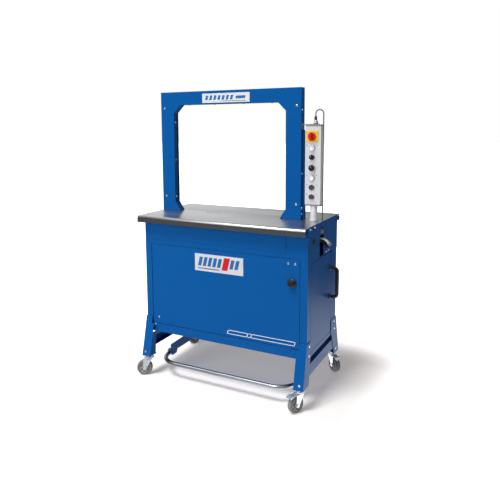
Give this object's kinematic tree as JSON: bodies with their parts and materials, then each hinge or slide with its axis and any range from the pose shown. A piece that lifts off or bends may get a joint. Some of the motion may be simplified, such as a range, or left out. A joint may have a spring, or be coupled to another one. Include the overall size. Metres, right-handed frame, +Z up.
{
  "type": "strapping machine",
  "caption": "Arch strapping machine on a casters trestle: cabinet with doors, stainless table, strap arch, control station on a post and a foot bar.",
  "frame": {"origin": "on the floor, under the middle of the machine's outline", "axes": "+Z up, -Y towards the operator's side with the foot bar, +X towards the control station"},
  "size_m": [0.9094, 0.5307, 1.377],
  "materials": {
    "powder_blue": "satin powder coat",
    "stainless": "brushed",
    "zinc": "zinc plated",
    "black_plastic": "matte",
    "grey_plastic": "matte",
    "white_plastic": "gloss",
    "dark_button": "satin",
    "yellow_plate": "gloss",
    "red_plastic": "gloss",
    "anodised": "anodised",
    "tyre_grey": "matte",
    "label_silver": "satin film",
    "strap": "satin",
    "cable": "matte"
  },
  "bodies": {
    "base": {"cabinet_frame": "powder_blue", "inner_brackets": "powder_blue", "fixed_panels": "powder_blue", "right_panel": "powder_blue", "door_pins": "zinc", "frame_screws": "zinc", "table_front": "stainless", "arch_front_cover": "powder_blue", "arch_rear_cover": "powder_blue", "strap_channel": "black_plastic", "arch_bolts": "zinc", "arch_label": "label_silver", "control_post": "anodised", "control_box": "anodised", "control_front": "anodised", "control_caps": "grey_plastic", "box_bracket": "stainless", "switch_plate": "yellow_plate", "button_bezels": "zinc", "cable_gland": "grey_plastic", "control_cable": "cable", "left_trestle": "powder_blue", "right_trestle": "powder_blue", "caster_heads": "zinc", "strap_guide": "white_plastic", "strap_head": "anodised", "electric_box": "powder_blue"},
    "front_door": {"front_door": "powder_blue", "door_label": "label_silver", "door_screws": "zinc"},
    "door_knob": {"door_knob": "black_plastic"},
    "side_door": {"side_door": "powder_blue", "side_handle": "black_plastic"},
    "table_rear": {"table_rear": "stainless"},
    "switch_handle": {"switch_handle": "red_plastic"},
    "white_button_upper": {"white_button_upper": "white_plastic"},
    "white_button_lower": {"white_button_lower": "white_plastic"},
    "dark_button_upper": {"dark_button_upper": "dark_button"},
    "dark_button_lower": {"dark_button_lower": "dark_button"},
    "mode_selector": {"mode_selector": "black_plastic"},
    "speed_knob": {"speed_knob": "black_plastic"},
    "foot_bar": {"foot_bar": "zinc", "foot_levers": "powder_blue", "foot_clamps": "zinc"},
    "guide_roller": {"guide_roller": "grey_plastic"},
    "anvil": {"anvil": "stainless"},
    "feed_roller": {"feed_roller": "stainless"},
    "pinch_roller": {"pinch_roller": "stainless"},
    "reel": {"strap_reel": "black_plastic", "strap_coil": "strap"},
    "fork_fl": {"fork_fl": "zinc"},
    "wheel_fl": {"wheel_fl": "tyre_grey"},
    "fork_fr": {"fork_fr": "zinc"},
    "wheel_fr": {"wheel_fr": "tyre_grey"},
    "fork_rl": {"fork_rl": "zinc"},
    "wheel_rl": {"wheel_rl": "tyre_grey"},
    "fork_rr": {"fork_rr": "zinc"},
    "wheel_rr": {"wheel_rr": "tyre_grey"},
    "brake_fr": {"brake_fr": "zinc"},
    "brake_rr": {"brake_rr": "zinc"}
  },
  "joints": [
    {"name": "front_door_hinge", "type": "hinge", "parent": "base", "child": "front_door", "pos_m": [-0.364, -0.173, 0.456], "axis": [0, 0, -1], "range_deg": [0, 100]},
    {"name": "door_knob_turn", "type": "hinge", "parent": "front_door", "child": "door_knob", "pos_m": [0.346, -0.181, 0.549], "axis": [0, -1, 0], "range_deg": [0, 90]},
    {"name": "side_door_hinge", "type": "hinge", "parent": "base", "child": "side_door", "pos_m": [0.408, -0.12, 0.434], "axis": [0, 0, -1], "range_deg": [0, 110]},
    {"name": "table_lift", "type": "hinge", "parent": "base", "child": "table_rear", "pos_m": [0, 0.246, 0.7785], "axis": [-1, 0, 0], "range_deg": [0, 55]},
    {"name": "switch_turn", "type": "hinge", "parent": "base", "child": "switch_handle", "pos_m": [0.367, -0.011, 1.162], "axis": [0, 1, 0], "range_deg": [0, 90]},
    {"name": "white_button_upper_press", "type": "slide", "parent": "base", "child": "white_button_upper", "axis": [0, 1, 0], "range_m": [0, 0.0035], "stiffness_N_per_m": 400, "springref_m": -0.004},
    {"name": "white_button_lower_press", "type": "slide", "parent": "base", "child": "white_button_lower", "axis": [0, 1, 0], "range_m": [0, 0.0035], "stiffness_N_per_m": 400, "springref_m": -0.004},
    {"name": "dark_button_upper_press", "type": "slide", "parent": "base", "child": "dark_button_upper", "axis": [0, 1, 0], "range_m": [0, 0.0035], "stiffness_N_per_m": 400, "springref_m": -0.004},
    {"name": "dark_button_lower_press", "type": "slide", "parent": "base", "child": "dark_button_lower", "axis": [0, 1, 0], "range_m": [0, 0.0035], "stiffness_N_per_m": 400, "springref_m": -0.004},
    {"name": "mode_selector_turn", "type": "hinge", "parent": "base", "child": "mode_selector", "pos_m": [0.367, -0.012, 1.072], "axis": [0, 1, 0], "range_deg": [-45, 45]},
    {"name": "speed_knob_turn", "type": "hinge", "parent": "base", "child": "speed_knob", "pos_m": [0.367, -0.012, 1.025], "axis": [0, 1, 0], "range_deg": [-135, 135]},
    {"name": "swivel_fl", "type": "hinge", "parent": "base", "child": "fork_fl", "pos_m": [-0.394, -0.202, 0.09], "axis": [0, 0, 1], "continuous": true},
    {"name": "roll_fl", "type": "hinge", "parent": "fork_fl", "child": "wheel_fl", "pos_m": [-0.41366, -0.21577, 0.0375], "axis": [0.5736, -0.8192, 0], "continuous": true},
    {"name": "swivel_fr", "type": "hinge", "parent": "base", "child": "fork_fr", "pos_m": [0.394, -0.202, 0.09], "axis": [0, 0, 1], "continuous": true},
    {"name": "roll_fr", "type": "hinge", "parent": "fork_fr", "child": "wheel_fr", "pos_m": [0.3831, -0.22338, 0.0375], "axis": [0.891, -0.454, 0], "continuous": true},
    {"name": "swivel_rl", "type": "hinge", "parent": "base", "child": "fork_rl", "pos_m": [-0.394, 0.238, 0.09], "axis": [0, 0, 1], "continuous": true},
    {"name": "roll_rl", "type": "hinge", "parent": "fork_rl", "child": "wheel_rl", "pos_m": [-0.40221, 0.21545, 0.0375], "axis": [0.9397, -0.342, 0], "continuous": true},
    {"name": "swivel_rr", "type": "hinge", "parent": "base", "child": "fork_rr", "pos_m": [0.394, 0.238, 0.09], "axis": [0, 0, 1], "continuous": true},
    {"name": "roll_rr", "type": "hinge", "parent": "fork_rr", "child": "wheel_rr", "pos_m": [0.41291, 0.22322, 0.0375], "axis": [0.6157, 0.788, 0], "continuous": true},
    {"name": "brake_fr_press", "type": "hinge", "parent": "fork_fr", "child": "brake_fr", "pos_m": [0.38946, -0.21091, 0.081], "axis": [0.891, -0.454, 0], "range_deg": [0, 8]},
    {"name": "brake_rr_press", "type": "hinge", "parent": "fork_rr", "child": "brake_rr", "pos_m": [0.40188, 0.23184, 0.081], "axis": [0.6157, 0.788, 0], "range_deg": [0, 8]},
    {"name": "foot_bar_press", "type": "hinge", "parent": "base", "child": "foot_bar", "pos_m": [0, 0.13, 0.19], "axis": [1, 0, 0], "range_deg": [0, 5], "stiffness_Nm_per_rad": 60, "springref_deg": -17.19},
    {"name": "guide_roller_spin", "type": "hinge", "parent": "base", "child": "guide_roller", "pos_m": [0.408, -0.012, 0.746], "axis": [0, 1, 0], "continuous": true},
    {"name": "anvil_drop", "type": "slide", "parent": "base", "child": "anvil", "axis": [0, 0, -1], "range_m": [0, 0.012]},
    {"name": "feed_roller_spin", "type": "hinge", "parent": "base", "child": "feed_roller", "pos_m": [-0.04, 0.01, 0.715], "axis": [0, 1, 0], "continuous": true},
    {"name": "pinch_roller_spin", "type": "hinge", "parent": "base", "child": "pinch_roller", "pos_m": [-0.01088, 0.01, 0.7497], "axis": [0, 1, 0], "continuous": true},
    {"name": "reel_spin", "type": "hinge", "parent": "base", "child": "reel", "pos_m": [0.17, 0.008, 0.43], "axis": [0, 1, 0], "continuous": true}
  ],
  "couplings": [
    {"joint": "pinch_roller_spin", "follows": "feed_roller_spin", "ratio": -2}
  ]
}
